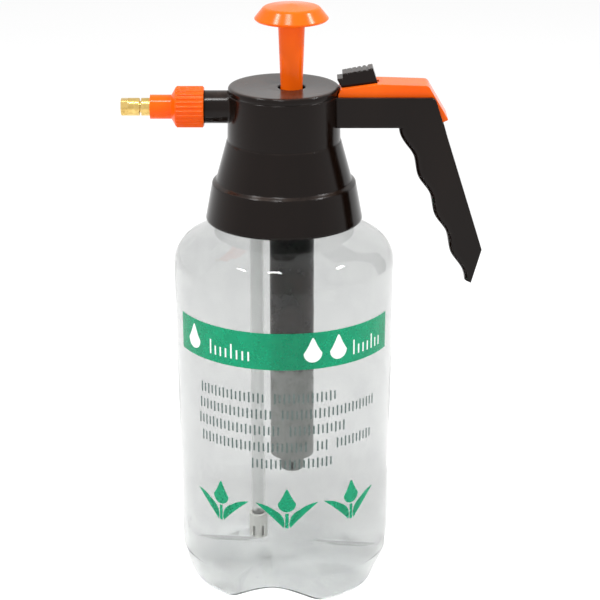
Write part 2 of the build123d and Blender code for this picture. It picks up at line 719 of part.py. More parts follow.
def lever_channel():
    """The space in the arm and behind the grip's top that the lever moves in."""
    floor = -CHANNEL_DROP
    inner = LEVER_DROOP_INNER[0] - DROOP_ROOM
    bottom = LEVER_DROOP_INNER[1] - DROOP_TRAVEL
    corners = from_wall(
        (-UPPER_WALL, floor),
        (inner - 2.5, floor, 1.5),
        (inner, bottom, 1.0),
        (GRIP_HEEL[0], bottom),
        (GRIP_HEEL[0], LEVER_PEAK[1]),
        (-UPPER_WALL, LEVER_PEAK[1]),
    )
    return plate(ARM_WIDTH - 2 * CHEEK, *corners)


def trigger_lever():
    shell = plate(
        LEVER_WIDTH,
        *from_wall(
            (LEVER_FRONT, LEVER_SKIRT),
            (LEVER_FRONT, 0.3),
            (*LEVER_TOP_FRONT, 0.6),
            (*LEVER_PEAK, 6.0),
            (*LEVER_REAR, 2.5),
            (*LEVER_DROOP, 0.5),
            (*LEVER_DROOP_INNER, 0.5),
            (LEVER_REAR[0] + 1.5, LEVER_SKIRT - 1),
            (LEVER_REAR[0], LEVER_SKIRT),
        ),
    )
    shell -= plate(
        LEVER_WIDTH - 2 * LEVER_WALL,
        *from_wall(
            (LEVER_FRONT + 3, LEVER_SKIRT - 2),
            (LEVER_FRONT + 3, LEVER_TOP_FRONT[1] - LEVER_WALL),
            (LEVER_PEAK[0], LEVER_PEAK[1] - LEVER_WALL),
            (LEVER_REAR[0] - LEVER_WALL, LEVER_REAR[1] - LEVER_WALL),
            (LEVER_REAR[0] + 2.5, LEVER_SKIRT - 1),
            (LEVER_REAR[0], LEVER_SKIRT - 2),
        ),
    )
    shell -= bar(UPPER_RADIUS + FREE, TOP - CHANNEL_DROP, CAP_TOP + FREE / 2)
    pad = FINGER_FRONT - UPPER_RADIUS
    back = pad + FINGER_THICKNESS
    pivot_x, pivot_z = PIVOT
    tip = pivot_z - FINGER_DROP
    finger = plate(
        FINGER_WIDTH,
        *from_wall(
            (pad, tip, 0.5),
            (back, tip, 0.5),
            (back, tip + 4.5),
            (pivot_x - 2, pivot_z - 4.2),
            (pivot_x + 3, pivot_z - HUB_RADIUS),
            (pivot_x + HUB_RADIUS, LEVER_PEAK[1] - 2 * LEVER_WALL),
            (pivot_x - 3, LEVER_TOP_FRONT[1] - LEVER_WALL / 2),
            (pivot_x - 3.2, pivot_z - 0.5),
            (back, pivot_z - 2.5),
            (pad, pivot_z - 5),
        ),
    )
    hub = cross_bar(HUB_RADIUS, ARM_WIDTH - 2 * CHEEK - 2 * FREE, PIVOT_X, PIVOT_HEIGHT)
    solid = shell + finger + hub - lock_slot()
    return solid - cross_bar(PIN_RADIUS + RUNNING, ARM_WIDTH, PIVOT_X, PIVOT_HEIGHT)


def lock_frame():
    """The lock's own plane: X up the lever's front slope, Z out of it."""
    (x0, z0), (x1, z1) = from_wall(LEVER_TOP_FRONT, LEVER_PEAK)
    length = hypot(x1 - x0, z1 - z0)
    along = ((x1 - x0) / length, (z1 - z0) / length)
    return Plane(origin=(x0, 0, z0), x_dir=(along[0], 0, along[1]), z_dir=(-along[1], 0, along[0]))


def lock_slot():
    half = KEEL_WIDTH / 2 + FREE
    end = KEEL_START + KEEL_LENGTH + LOCK_TRAVEL + FREE
    return lock_frame() * block((KEEL_START - FREE, -half, -3 * LEVER_WALL), (end, half, LEVER_WALL))


def lock_slider():
    lift = RUNNING
    rise = 0.4  # the top runs a little steeper than the slope below it
    top = LOCK_HEIGHT
    step = top - LOCK_STEP_DROP - rise
    body = plate(
        LOCK_WIDTH,
        (0.4, lift),
        (LOCK_LENGTH, lift),
        (LOCK_LENGTH - LOCK_LEAN / 2, top + rise, 0.4),
        (LOCK_STEP - LOCK_LEAN / 2, top - rise, 0.4),
        (LOCK_STEP - LOCK_LEAN / 2, step),
        (-LOCK_LEAN / 2, step, 0.3),
    )
    pitch = (LOCK_LENGTH - LOCK_LEAN - LOCK_STEP) / LOCK_GROOVES
    for count in range(LOCK_GROOVES):
        x = LOCK_STEP + pitch * (count + 0.4)
        body -= Pos(x, 0, top + LOCK_GROOVE * 0.4) * Rot(0, 45, 0) * Box(LOCK_GROOVE * 2, LOCK_WIDTH, LOCK_GROOVE * 2)
    half = KEEL_WIDTH / 2
    foot = KEEL_FOOT / 2
    below = -LEVER_WALL - FREE - 0.2
    end = KEEL_START + KEEL_LENGTH
    body += block((KEEL_START, -half, below - 0.8), (end, half, lift))
    body += block((KEEL_START, -foot, below - 0.8), (end, foot, below))
    return lock_frame() * body


def trigger_pin():
    return cross_bar(PIN_RADIUS, ARM_WIDTH - CHEEK, PIVOT_X, PIVOT_HEIGHT)


PIECES = [
    bottle,
    head_housing,
    bottle_gasket,
    pump_cap,
    pump_barrel,
    barrel_o_ring,
    check_valve,
    valve_cage,
    knob,
    pump_rod,
    piston,
    piston_cup,
    piston_screw,
    valve_housing,
    gland_o_ring,
    valve_seat,
    valve_seal,
    valve_stem,
    valve_spring,
    dip_tube,
    dip_filter,
    nozzle_nut,
    spigot_gasket,
    nozzle_base,
    swirl_core,
    tip_o_ring,
    nozzle_tip,
    handle,
    trigger_lever,
    lock_slider,
    trigger_pin,
]

os.makedirs("parts", exist_ok=True)
for piece in PIECES:
    export_step(piece(), f"parts/{piece.__name__}.step")
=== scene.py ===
"""The looks of a hand pump sprayer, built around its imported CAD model. Metres, in the model's own frame."""

import json
from math import atan2, cos, exp, hypot, log, pi, radians, sin, sqrt, tan

import bmesh
import bpy
from mathutils import Matrix, Vector


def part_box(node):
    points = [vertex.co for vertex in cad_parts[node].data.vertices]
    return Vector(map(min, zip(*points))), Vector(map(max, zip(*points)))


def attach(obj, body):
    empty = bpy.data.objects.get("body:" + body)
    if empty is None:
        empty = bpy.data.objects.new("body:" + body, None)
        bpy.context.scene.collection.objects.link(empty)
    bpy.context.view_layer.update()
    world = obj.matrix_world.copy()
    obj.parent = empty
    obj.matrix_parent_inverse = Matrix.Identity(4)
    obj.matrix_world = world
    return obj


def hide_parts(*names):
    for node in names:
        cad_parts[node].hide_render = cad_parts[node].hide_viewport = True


MM = 0.001

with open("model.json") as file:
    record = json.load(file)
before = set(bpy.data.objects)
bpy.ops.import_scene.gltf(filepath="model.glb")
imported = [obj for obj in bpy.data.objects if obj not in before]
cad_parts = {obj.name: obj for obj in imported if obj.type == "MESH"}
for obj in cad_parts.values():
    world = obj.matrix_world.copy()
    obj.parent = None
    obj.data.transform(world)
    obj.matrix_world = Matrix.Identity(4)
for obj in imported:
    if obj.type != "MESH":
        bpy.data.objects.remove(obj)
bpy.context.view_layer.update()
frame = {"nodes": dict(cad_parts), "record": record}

# Bottle
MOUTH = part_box("bottle")[1].z
SIDE = 51.08 * MM
SHOULDER = MOUTH - 28.23 * MM
NECK = 28.5 * MM
NECK_FOOT = MOUTH - 15.8 * MM
WALL = 0.8 * MM
BASE_TOP = 16.0 * MM
BASE_RADIUS = 49.3 * MM
FOOT_RADIUS = 44.5 * MM
FOOT_TURN = radians(-6)
VALLEY_RADIUS = 30.0 * MM
VALLEY_DEPTH = 9.0 * MM
VALLEY_BLEND = 0.8 * MM
NOTCH_TOP = 23.0 * MM
NOTCH_DEPTH = 3.2 * MM
NOTCH_WIDTH = 19.0 * MM
NOTCH_START = 30.0 * MM
FOOT_BEND = 4.5 * MM
BASE_BEND = 1.5 * MM
SHOULDER_BEND = 13 * MM
NECK_BEND = 2.5 * MM
TURN_STEPS = 192
FINE_STEP = 1.4 * MM
FINE_TOP = BASE_TOP + 10 * MM
COARSE_STEP = 5 * MM

# Neck thread
THREAD_PITCH = 5.0 * MM
THREAD_HEIGHT = 1.1 * MM
THREAD_HALF = 1.15 * MM
THREAD_ROOT = 0.5 * MM
THREAD_SUNK = 0.2 * MM
THREAD_START = MOUTH - 11.2 * MM
THREAD_TURNS = 1.75
THREAD_STEPS = 96
THREAD_RUN_OUT = 0.1

# Heights on the pump's barrel between which its tone changes: where the plunger's parts begin to show
# through, and where painted shade under the head begins
PLUNGER_LOW, PLUNGER_HIGH = 110 * MM, 115 * MM
SHADE_LOW, SHADE_HIGH = 158 * MM, 170 * MM
RAGGED_EDGE = 16 * MM

# Printing
FILM = 0.06 * MM
LOW_LIFT, HIGH_LIFT = 0.03 * MM, 0.1 * MM
WRAP_STEP = 1.4 * MM
WRAP_CUTS = 60

# Stage
FLOOR_RADIUS = 12.0
SKY_STRENGTH = 0.98
LAMP_AIM = (0, 0, 150 * MM)
LAMP_DISTANCE = 0.95
LAMP_WIDTH, LAMP_DEPTH = 0.16, 0.06
LAMP_POWER = 2.7
LAMPS = {
    "lamp_left": (-0.49, -0.16, 0.85),
    "lamp_front": (-0.11, -0.34, 0.93),
    "lamp_right": (0.62, -0.02, 0.78),
}
CAMERA_PLACE = (7.3 * MM, -900 * MM, 464.5 * MM)
CAMERA_TILT = radians(70)
CAMERA_LENS = 123.0


# Node helpers


def group_of(name, inputs, outputs):
    """A shader node group with these float or colour inputs and outputs, and its two end nodes."""
    tree = bpy.data.node_groups.new(name, "ShaderNodeTree")
    for label, kind, value in inputs:
        socket = tree.interface.new_socket(label, in_out="INPUT", socket_type=kind)
        if value is not None:
            socket.default_value = value
    for label, kind in outputs:
        tree.interface.new_socket(label, in_out="OUTPUT", socket_type=kind)
    return tree, tree.nodes.new("NodeGroupInput"), tree.nodes.new("NodeGroupOutput")


def math_node(tree, operation, first, second=None, clamp=False):
    """A Math node fed by sockets or plain numbers. Returns its output socket."""
    node = tree.nodes.new("ShaderNodeMath")
    node.operation = operation
    node.use_clamp = clamp
    for index, value in enumerate((first, second)):
        if value is None:
            continue
        if isinstance(value, (int, float)):
            node.inputs[index].default_value = value
        else:
            tree.links.new(value, node.inputs[index])
    return node.outputs[0]


def noise_node(tree, vector, scale, detail=3.0, roughness=0.5):
    node = tree.nodes.new("ShaderNodeTexNoise")
    node.inputs["Detail"].default_value = detail
    node.inputs["Roughness"].default_value = roughness
    if isinstance(scale, (int, float)):
        node.inputs["Scale"].default_value = scale
    else:
        tree.links.new(scale, node.inputs["Scale"])
    tree.links.new(vector, node.inputs["Vector"])
    return node.outputs["Fac"]


def object_place(tree):
    return tree.nodes.new("ShaderNodeTexCoord").outputs["Object"]


def mix_colour(tree, mask, low, high):
    """A colour between two, by a mask. Each of the two is a plain colour or a socket."""
    node = tree.nodes.new("ShaderNodeMix")
    node.data_type = "RGBA"
    tree.links.new(mask, node.inputs["Factor"])
    for socket, value in ((node.inputs["A"], low), (node.inputs["B"], high)):
        if isinstance(value, tuple):
            socket.default_value = (*value, 1.0)
        else:
            tree.links.new(value, socket)
    return node.outputs["Result"]


def map_range(tree, value, low, high, to_low=0.0, to_high=1.0):
    node = tree.nodes.new("ShaderNodeMapRange")
    node.inputs["From Min"].default_value = low
    node.inputs["From Max"].default_value = high
    node.inputs["To Min"].default_value = to_low
    node.inputs["To Max"].default_value = to_high
    tree.links.new(value, node.inputs["Value"])
    return node.outputs["Result"]


def place_group(tree, group, **values):
    """A group node with its plain input values set."""
    node = tree.nodes.new("ShaderNodeGroup")
    node.node_tree = group
    for label, value in values.items():
        node.inputs[label.replace("_", " ")].default_value = value
    return node


# Shared effects


def build_moulded_surface():
    """Fine grain, slow flow marks and faint scuffs of a moulded plastic."""
    tree, start, end = group_of(
        "moulded_surface",
        [("Grain Size", "NodeSocketFloat", 2500.0), ("Flow Size", "NodeSocketFloat", 26.0)],
        [("Grain", "NodeSocketFloat"), ("Flow", "NodeSocketFloat"), ("Scuffs", "NodeSocketFloat")],
    )
    place = object_place(tree)
    grain = noise_node(tree, place, start.outputs["Grain Size"], 2.0, 0.6)
    stretch = tree.nodes.new("ShaderNodeMapping")
    stretch.inputs["Scale"].default_value = (1.0, 1.0, 0.35)
    tree.links.new(place, stretch.inputs["Vector"])
    flow = noise_node(tree, stretch.outputs["Vector"], start.outputs["Flow Size"], 4.0, 0.55)
    streak = tree.nodes.new("ShaderNodeMapping")
    streak.inputs["Rotation"].default_value = (0.4, 0.7, 0.2)
    streak.inputs["Scale"].default_value = (1.0, 9.0, 1.0)
    tree.links.new(place, streak.inputs["Vector"])
    scuffs = map_range(tree, noise_node(tree, streak.outputs["Vector"], 120.0, 6.0, 0.7), 0.62, 0.74)
    tree.links.new(grain, end.inputs["Grain"])
    tree.links.new(flow, end.inputs["Flow"])
    tree.links.new(scuffs, end.inputs["Scuffs"])
    return tree


def build_worn_edge():
    """A mask that is 1 along the piece's own edges, broken up by noise, and the edges' rounded normal."""
    tree, start, end = group_of(
        "worn_edge",
        [("Break Up", "NodeSocketFloat", 260.0), ("Radius", "NodeSocketFloat", 0.6 * MM)],
        [("Mask", "NodeSocketFloat"), ("Rounded", "NodeSocketVector")],
    )
    rounded = tree.nodes.new("ShaderNodeBevel")
    rounded.samples = 6
    tree.links.new(start.outputs["Radius"], rounded.inputs["Radius"])
    flat = tree.nodes.new("ShaderNodeNewGeometry")
    facing = tree.nodes.new("ShaderNodeVectorMath")
    facing.operation = "DOT_PRODUCT"
    tree.links.new(rounded.outputs["Normal"], facing.inputs[0])
    tree.links.new(flat.outputs["Normal"], facing.inputs[1])
    edge = map_range(tree, facing.outputs["Value"], 0.995, 0.86)
    patchy = map_range(tree, noise_node(tree, object_place(tree), start.outputs["Break Up"], 3.0), 0.35, 0.6)
    tree.links.new(math_node(tree, "MULTIPLY", edge, patchy), end.inputs["Mask"])
    tree.links.new(rounded.outputs["Normal"], end.inputs["Rounded"])
    return tree


def build_painted_top_sheen():
    """A mask for painted sheen: a thin patchy film on faces turned upwards that paints in their reflection of
    the room.
    """
    tree, start, end = group_of(
        "painted_top_sheen", [("Patch Size", "NodeSocketFloat", 90.0)], [("Mask", "NodeSocketFloat")]
    )
    facing = tree.nodes.new("ShaderNodeNewGeometry")
    split = tree.nodes.new("ShaderNodeSeparateXYZ")
    tree.links.new(facing.outputs["Normal"], split.inputs[0])
    upward = map_range(tree, split.outputs["Z"], 0.55, 0.98)
    patches = noise_node(tree, object_place(tree), start.outputs["Patch Size"], 5.0, 0.65)
    patchy = map_range(tree, patches, 0.38, 0.72)
    tree.links.new(math_node(tree, "MULTIPLY", upward, patchy), end.inputs["Mask"])
    return tree


def build_turned_marks():
    """Fine rings round the nozzle's axis, as a lathe tool leaves them."""
    tree, start, end = group_of(
        "turned_marks",
        [("Ring Size", "NodeSocketFloat", 900.0)],
        [("Rings", "NodeSocketFloat"), ("Tarnish", "NodeSocketFloat")],
    )
    place = object_place(tree)
    wave = tree.nodes.new("ShaderNodeTexWave")
    wave.bands_direction = "X"
    wave.inputs["Distortion"].default_value = 1.5
    wave.inputs["Detail"].default_value = 2.0
    tree.links.new(start.outputs["Ring Size"], wave.inputs["Scale"])
    tree.links.new(place, wave.inputs["Vector"])
    tarnish = map_range(tree, noise_node(tree, place, 420.0, 5.0, 0.6), 0.35, 0.75)
    tree.links.new(wave.outputs["Fac"], end.inputs["Rings"])
    tree.links.new(tarnish, end.inputs["Tarnish"])
    return tree


moulded_surface = build_moulded_surface()
worn_edge = build_worn_edge()
painted_top_sheen = build_painted_top_sheen()
turned_marks = build_turned_marks()


# Materials


def material_of(name, **plain):
    """A material with one Principled shader and the plain values that are the same all over."""
    material = bpy.data.materials.new(name)
    material.use_nodes = True
    tree = material.node_tree
    shader = next(node for node in tree.nodes if node.type == "BSDF_PRINCIPLED")
    for label, value in plain.items():
        shader.inputs[label.replace("_", " ")].default_value = value
    return material, tree, shader


def add_bump(tree, shader, height, distance, strength=1.0, normal=None):
    bump = tree.nodes.new("ShaderNodeBump")
    bump.inputs["Distance"].default_value = distance
    bump.inputs["Strength"].default_value = strength
    tree.links.new(height, bump.inputs["Height"])
    if normal is not None:
        tree.links.new(normal, bump.inputs["Normal"])
    tree.links.new(bump.outputs["Normal"], shader.inputs["Normal"])


def moulded_plastic(name, dark, light, worn, top_sheen_tone, gloss, grain_depth, edge_radius=0.6 * MM, **plain):
    """A moulded plastic: two tones by its flow marks, paler edges, a patchy painted sheen on faces turned
    upwards in place of their reflection, and fine grain.
    """
    material, tree, shader = material_of(name, **plain)
    surface = place_group(tree, moulded_surface)
    edges = place_group(tree, worn_edge, Radius=edge_radius)
    top_sheen = place_group(tree, painted_top_sheen)
    flow = map_range(tree, surface.outputs["Flow"], 0.35, 0.65)
    colour = mix_colour(tree, flow, dark, light)
    colour = mix_colour(tree, math_node(tree, "MULTIPLY", edges.outputs["Mask"], 0.5), colour, worn)
    # Painted reflection: faces turned upwards take a patchy paler tone, and a little more roughness there.
    colour = mix_colour(tree, math_node(tree, "MULTIPLY", top_sheen.outputs["Mask"], 0.35), colour, top_sheen_tone)
    tree.links.new(colour, shader.inputs["Base Color"])
    smooth, dull = gloss
    rough = map_range(tree, surface.outputs["Flow"], 0.3, 0.7, smooth, dull)
    rough = math_node(tree, "ADD", rough, math_node(tree, "MULTIPLY", surface.outputs["Scuffs"], 0.12))
    rough = math_node(tree, "ADD", rough, math_node(tree, "MULTIPLY", top_sheen.outputs["Mask"], 0.1), clamp=True)
    tree.links.new(rough, shader.inputs["Roughness"])
    add_bump(tree, shader, surface.outputs["Grain"], grain_depth, 1.0, edges.outputs["Rounded"])
    return material


def black_plastic():
    # Its fourth colour is a painted brownish sheen for faces turned upwards, in place of their reflection.
    return moulded_plastic(
        "black_moulded_plastic", (0.0035, 0.0013, 0.0006), (0.0065, 0.003, 0.0018), (0.02, 0.014, 0.011),
        (0.12, 0.082, 0.064), (0.12, 0.2), 0.004 * MM, 1.5 * MM, Specular_IOR_Level=0.2,
    )


def orange_plastic():
    return moulded_plastic(
        "orange_moulded_plastic", (0.88, 0.09, 0.002), (0.92, 0.135, 0.003), (0.95, 0.2, 0.012),
        (0.9, 0.2, 0.02), (0.12, 0.22), 0.006 * MM, Specular_IOR_Level=0.14,
    )


def white_plastic():
    return moulded_plastic(
        "natural_white_plastic", (0.7, 0.7, 0.66), (0.82, 0.82, 0.79), (0.9, 0.9, 0.88),
        (0.6, 0.58, 0.52), (0.3, 0.42), 0.01 * MM,
    )


def barrel_plastic():
    """Smoky grey plastic of the pump's barrel, darker where the plunger's parts stand inside it, with painted
    shade going near black at its top under the head.
    """
    material, tree, shader = material_of("smoky_barrel_plastic", Specular_IOR_Level=0.2)
    place = object_place(tree)
    split = tree.nodes.new("ShaderNodeSeparateXYZ")
    tree.links.new(place, split.inputs[0])
    ragged = math_node(tree, "MULTIPLY", noise_node(tree, place, 130.0, 4.0, 0.6), RAGGED_EDGE)
    height = math_node(tree, "ADD", split.outputs["Z"], ragged)
    filled = map_range(tree, height, PLUNGER_LOW, PLUNGER_HIGH)
    shaded_top = map_range(tree, height, SHADE_LOW, SHADE_HIGH)
    mottle = map_range(tree, noise_node(tree, place, 95.0, 5.0, 0.65), 0.35, 0.68)
    pale = mix_colour(tree, mottle, (0.24, 0.245, 0.23), (0.34, 0.345, 0.33))
    brown = mix_colour(tree, mottle, (0.006, 0.0028, 0.002), (0.024, 0.01, 0.006))
    # Painted shade: the barrel goes near black at its top, under the head.
    dark = mix_colour(tree, mottle, (0.002, 0.002, 0.002), (0.008, 0.0085, 0.007))
    colour = mix_colour(tree, shaded_top, mix_colour(tree, filled, pale, brown), dark)
    tree.links.new(colour, shader.inputs["Base Color"])
    tree.links.new(map_range(tree, mottle, 0.0, 1.0, 0.22, 0.4), shader.inputs["Roughness"])
    rings = tree.nodes.new("ShaderNodeTexWave")
    rings.bands_direction = "Z"
    rings.inputs["Scale"].default_value = 70.0
    rings.inputs["Distortion"].default_value = 0.4
    tree.links.new(place, rings.inputs["Vector"])
    add_bump(tree, shader, math_node(tree, "MULTIPLY", rings.outputs["Fac"], shaded_top), 0.25 * MM, 0.6)
    return material


def natural_plastic():
    """Milky translucent polyethylene of the suction tube."""
    material, tree, shader = material_of("milky_tube_plastic", Transmission_Weight=0.9, IOR=1.12)
    surface = place_group(tree, moulded_surface)
    colour = mix_colour(tree, surface.outputs["Flow"], (0.9, 0.91, 0.9), (0.97, 0.97, 0.97))
    tree.links.new(colour, shader.inputs["Base Color"])
    tree.links.new(map_range(tree, surface.outputs["Flow"], 0.3, 0.7, 0.25, 0.4), shader.inputs["Roughness"])
    add_bump(tree, shader, surface.outputs["Grain"], 0.006 * MM)
    return material


def brass():
    material, tree, shader = material_of("turned_brass", Metallic=1.0)
    marks = place_group(tree, turned_marks)
    edges = place_group(tree, worn_edge)
    colour = mix_colour(tree, marks.outputs["Tarnish"], (0.8, 0.57, 0.2), (0.55, 0.36, 0.1))
    rubbed = math_node(tree, "MULTIPLY", edges.outputs["Mask"], 0.7)
    colour = mix_colour(tree, rubbed, colour, (1.0, 0.85, 0.5))
    tree.links.new(colour, shader.inputs["Base Color"])
    rough = map_range(tree, marks.outputs["Tarnish"], 0.0, 1.0, 0.16, 0.34)
    tree.links.new(rough, shader.inputs["Roughness"])
    add_bump(tree, shader, marks.outputs["Rings"], 0.02 * MM, 0.8, edges.outputs["Rounded"])
    return material


def steel():
    material, tree, shader = material_of("stainless_steel", Metallic=1.0)
    surface = place_group(tree, moulded_surface, Grain_Size=4000.0)
    colour = mix_colour(tree, surface.outputs["Flow"], (0.5, 0.5, 0.51), (0.68, 0.68, 0.69))
    tree.links.new(colour, shader.inputs["Base Color"])
    tree.links.new(map_range(tree, surface.outputs["Flow"], 0.3, 0.7, 0.2, 0.38), shader.inputs["Roughness"])
    add_bump(tree, shader, surface.outputs["Grain"], 0.006 * MM)
    return material


def rubber():
    material, tree, shader = material_of("nitrile_rubber", Specular_IOR_Level=0.3)
    surface = place_group(tree, moulded_surface, Grain_Size=1800.0)
    colour = mix_colour(tree, surface.outputs["Flow"], (0.012, 0.012, 0.013), (0.028, 0.028, 0.028))
    tree.links.new(colour, shader.inputs["Base Color"])
    tree.links.new(map_range(tree, surface.outputs["Flow"], 0.3, 0.7, 0.55, 0.75), shader.inputs["Roughness"])
    add_bump(tree, shader, surface.outputs["Grain"], 0.02 * MM)
    return material


def let_lamps_through(tree, shader, tint):
    """Lets the lamps' light pass this clear material, tinted, so that what is inside is lit."""
    path = tree.nodes.new("ShaderNodeLightPath")
    clear = tree.nodes.new("ShaderNodeBsdfTransparent")
    clear.inputs["Color"].default_value = (*tint, 1.0)
    mix = tree.nodes.new("ShaderNodeMixShader")
    surface = next(node for node in tree.nodes if node.type == "OUTPUT_MATERIAL").inputs["Surface"]
    tree.links.new(path.outputs["Is Shadow Ray"], mix.inputs["Fac"])
    tree.links.new(shader.outputs["BSDF"], mix.inputs[1])
    tree.links.new(clear.outputs["BSDF"], mix.inputs[2])
    tree.links.new(mix.outputs["Shader"], surface)


def clear_pet():
    """Blown PET: clear, faintly grey, with the slow waves that blowing leaves in the wall."""
    material, tree, shader = material_of(
        "clear_blown_pet", Transmission_Weight=1.0, IOR=1.2,
        Coat_Weight=0.4, Coat_IOR=1.5, Coat_Roughness=0.02,
    )
    place = object_place(tree)
    tall = tree.nodes.new("ShaderNodeMapping")
    tall.inputs["Scale"].default_value = (1.0, 1.0, 0.4)
    tree.links.new(place, tall.inputs["Vector"])
    waves = noise_node(tree, tall.outputs["Vector"], 42.0, 2.0, 0.45)
    haze = map_range(tree, noise_node(tree, place, 75.0, 5.0, 0.6), 0.45, 0.8)
    colour = mix_colour(tree, haze, (0.72, 0.727, 0.723), (0.665, 0.673, 0.673))
    tree.links.new(colour, shader.inputs["Base Color"])
    tree.links.new(map_range(tree, haze, 0.0, 1.0, 0.012, 0.05), shader.inputs["Roughness"])
    add_bump(tree, shader, waves, 0.5 * MM, 0.5)
    let_lamps_through(tree, shader, (0.9, 0.905, 0.905))
    return material


def printing_ink(name, thin, thick, see_through):
    """Screen printing ink, a little uneven in its cover. It lets some of what is behind it through."""
    material, tree, shader = material_of(
        name, Transmission_Weight=see_through, IOR=1.3, Specular_IOR_Level=0.4
    )
    place = object_place(tree)
    cover = map_range(tree, noise_node(tree, place, 160.0, 6.0, 0.7), 0.3, 0.7)
    tree.links.new(mix_colour(tree, cover, thin, thick), shader.inputs["Base Color"])
    tree.links.new(map_range(tree, cover, 0.0, 1.0, 0.2, 0.34), shader.inputs["Roughness"])
    add_bump(tree, shader, noise_node(tree, place, 1500.0, 2.0), 0.004 * MM)
    return material


finishes = {
    "black_plastic": black_plastic(),
    "orange_plastic": orange_plastic(),
    "white_plastic": white_plastic(),
    "barrel_plastic": barrel_plastic(),
    "natural_plastic": natural_plastic(),
    "brass": brass(),
    "steel": steel(),
    "rubber": rubber(),
    "clear_pet": clear_pet(),
}
green_ink = printing_ink("green_ink", (0.005, 0.5, 0.25), (0.002, 0.4, 0.2), 0.6)
grey_ink = printing_ink("grey_ink", (0.16, 0.21, 0.2), (0.1, 0.14, 0.13), 0.2)
white_ink = printing_ink("white_ink", (0.88, 0.93, 0.9), (0.95, 0.97, 0.95), 0.1)


def dress_cad_pieces():
    """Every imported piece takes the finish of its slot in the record."""
    for part in frame["record"]["subparts"]:
        node = frame["nodes"][part["node"]]
        node.data.materials.clear()
        node.data.materials.append(finishes[part["material_slot"]])


# Mesh helpers


def finished_piece(name, mesh, material, body, smooth=True):
    """Closes a bmesh's seams, turns its faces outwards and makes it a piece that rides on a body."""
    bmesh.ops.remove_doubles(mesh, verts=mesh.verts, dist=0.002 * MM)
    bmesh.ops.recalc_face_normals(mesh, faces=mesh.faces)
    data = bpy.data.meshes.new(name)
    mesh.to_mesh(data)
    mesh.free()
    data.materials.append(material)
    for face in data.polygons:
        face.use_smooth = smooth
    piece = bpy.data.objects.new(name, data)
    bpy.context.scene.collection.objects.link(piece)
    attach(piece, body)
    return piece


def give_thickness(piece, thickness, offset):
    """A Solidify modifier: offset -1 puts the wall inside the surface, and 1 outside it."""
    solidify = piece.modifiers.new("wall", "SOLIDIFY")
    solidify.thickness = thickness
    solidify.offset = offset


def open_line(mesh, points):
    """Vertices along an open line, in the XZ plane, joined by edges."""
    verts = [mesh.verts.new((x, 0, z)) for x, z in points]
    for first, second in zip(verts, verts[1:]):
        mesh.edges.new((first, second))


def round_corner(mesh, corner, radius, segments):
    """Rounds the line's corner at (x, z) to an arc of this radius."""
    vert = min(mesh.verts, key=lambda v: hypot(v.co.x - corner[0], v.co.z - corner[1]))
    sides = [(edge.other_vert(vert).co - vert.co).normalized() for edge in vert.link_edges]
    turn = pi - sides[0].angle(sides[1])
    bmesh.ops.bevel(
        mesh, geom=[vert], offset=radius * tan(turn / 2), offset_type="OFFSET", segments=segments,
        profile=0.5, affect="VERTICES", material=-1,
    )


def divide_line(mesh, low, high, longest):
    """Halves the line's edges between two heights until none is longer than this."""
    while True:
        within = [e for e in mesh.edges if all(low - MM / 10 <= v.co.z <= high + MM / 10 for v in e.verts)]
        within = [e for e in within if e.calc_length() > longest]
        if not within:
            return
        bmesh.ops.subdivide_edges(mesh, edges=within, cuts=1)


# Bottle


def soft_max(first, second, blend):
    """The larger of two heights, with the corner between them rounded."""
    top = max(first, second)
    return top + blend * log(exp((first - top) / blend) + exp((second - top) / blend))


def valley_height(across):
    """The height of a hollow's surface at a distance from its axis."""
    if abs(across) >= VALLEY_RADIUS:
        return -VALLEY_RADIUS
    return VALLEY_DEPTH - VALLEY_RADIUS + sqrt(VALLEY_RADIUS**2 - across**2)


def shape_feet(mesh):
    """Two crossing hollows that leave four feet, and the notch that each hollow's end makes in the side."""
    for vert in mesh.verts:
        radius = hypot(vert.co.x, vert.co.y)
        angle = atan2(vert.co.y, vert.co.x) - FOOT_TURN
        along, across = radius * cos(angle), radius * sin(angle)
        near_axis = min(abs(along), abs(across))
        if vert.co.z < NOTCH_TOP and radius > NOTCH_START:
            share = min(1.0, (NOTCH_TOP - vert.co.z) / (NOTCH_TOP - VALLEY_DEPTH))
            reach = NOTCH_WIDTH * share
            if reach > 0 and near_axis < reach:
                fade = min(1.0, (radius - NOTCH_START) / (FOOT_RADIUS - NOTCH_START))
                pull = NOTCH_DEPTH * share * fade * (1 + cos(pi * near_axis / reach)) / 2
                vert.co.x *= 1 - pull / radius
                vert.co.y *= 1 - pull / radius
        if vert.co.z < BASE_TOP:
            hollow = soft_max(valley_height(along), valley_height(across), VALLEY_BLEND)
            raised = soft_max(vert.co.z, hollow, VALLEY_BLEND)
            if hollow > -VALLEY_BLEND * 8:
                vert.co.z = max(vert.co.z, raised)


def bottle_shell():
    """The blown bottle: turned about its axis, hollowed below, with its wall inside the surface."""
    mesh = bmesh.new()
    foot, base, side, neck = (FOOT_RADIUS, 0), (BASE_RADIUS, BASE_TOP), (SIDE, SHOULDER), (NECK, NECK_FOOT)
    open_line(mesh, [(0, 0), foot, base, side, neck, (NECK, MOUTH)])
    round_corner(mesh, foot, FOOT_BEND, 8)
    round_corner(mesh, base, BASE_BEND, 4)
    round_corner(mesh, side, SHOULDER_BEND, 14)
    round_corner(mesh, neck, NECK_BEND, 8)
    divide_line(mesh, 0, FINE_TOP, FINE_STEP)
    divide_line(mesh, 0, MOUTH, COARSE_STEP)
    bmesh.ops.spin(
        mesh, geom=mesh.verts[:] + mesh.edges[:], cent=(0, 0, 0), axis=(0, 0, 1), dvec=(0, 0, 0),
        angle=2 * pi, steps=TURN_STEPS, use_merge=True,
    )
    bmesh.ops.remove_doubles(mesh, verts=mesh.verts, dist=0.002 * MM)
    shape_feet(mesh)
    piece = finished_piece("bottle_shell", mesh, finishes["clear_pet"], "bottle_body")
    give_thickness(piece, WALL, -1)
    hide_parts("bottle")
    return piece


